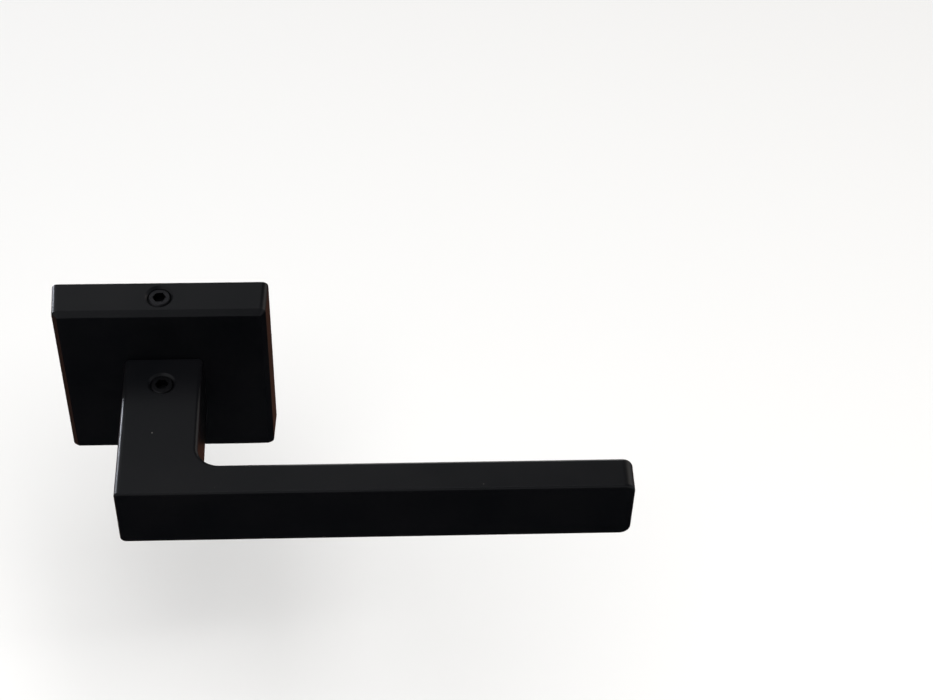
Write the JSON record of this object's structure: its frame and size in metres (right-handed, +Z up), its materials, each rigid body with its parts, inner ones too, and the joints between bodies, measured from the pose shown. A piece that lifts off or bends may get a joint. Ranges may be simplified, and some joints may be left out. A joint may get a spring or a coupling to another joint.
{
  "type": "door lever handle",
  "caption": "Straight square-section door lever on a slim square sprung rose, satin black, held by grub screws in its neck and in the edge of the rose.",
  "frame": {"origin": "where the spindle's axis meets the door's face, in the middle of the rose's back", "axes": "+X along the lever from the spindle to its tip, +Y into the door along the spindle's axis, +Z up, on the side of the two grub screws; the door's face is the plane y = 0 and the handle stands in front of it at negative y"},
  "size_m": [0.146, 0.054, 0.055],
  "materials": {
    "black_coat": "satin black powder coat on cast zinc alloy",
    "black_screw": "black oxide steel, lightly oiled",
    "zinc_steel": "bright zinc-plated pressed steel",
    "steel": "machined steel",
    "spring_steel": "oil-tempered spring steel",
    "nylon": "natural nylon",
    "acetal": "black acetal",
    "foam": "thin closed-cell foam pad"
  },
  "bodies": {
    "rose": {"rose_cover": "black_coat", "rose_grub_screw": "black_screw", "mounting_plate": "zinc_steel", "door_gasket": "foam", "retaining_plate": "zinc_steel", "retaining_screws": "zinc_steel", "stop_buffers": "nylon", "front_bush": "acetal", "rear_bush": "nylon", "friction_washer": "nylon", "spring_post": "steel", "return_spring_left": "spring_steel", "return_spring_right": "spring_steel"},
    "lever": {"lever_handle": "black_coat", "drive_sleeve": "steel", "lever_grub_screw": "black_screw", "follower": "steel", "spring_seats": "nylon", "thrust_washer": "steel", "circlip": "spring_steel"}
  },
  "joints": [
    {"name": "lever_turn", "type": "hinge", "parent": "rose", "child": "lever", "pos_m": [0, 0, 0], "axis": [0, 1, 0], "range_deg": [-50, 50], "stiffness_Nm_per_rad": 2, "deforming": ["return_spring_left", "return_spring_right"]}
  ]
}
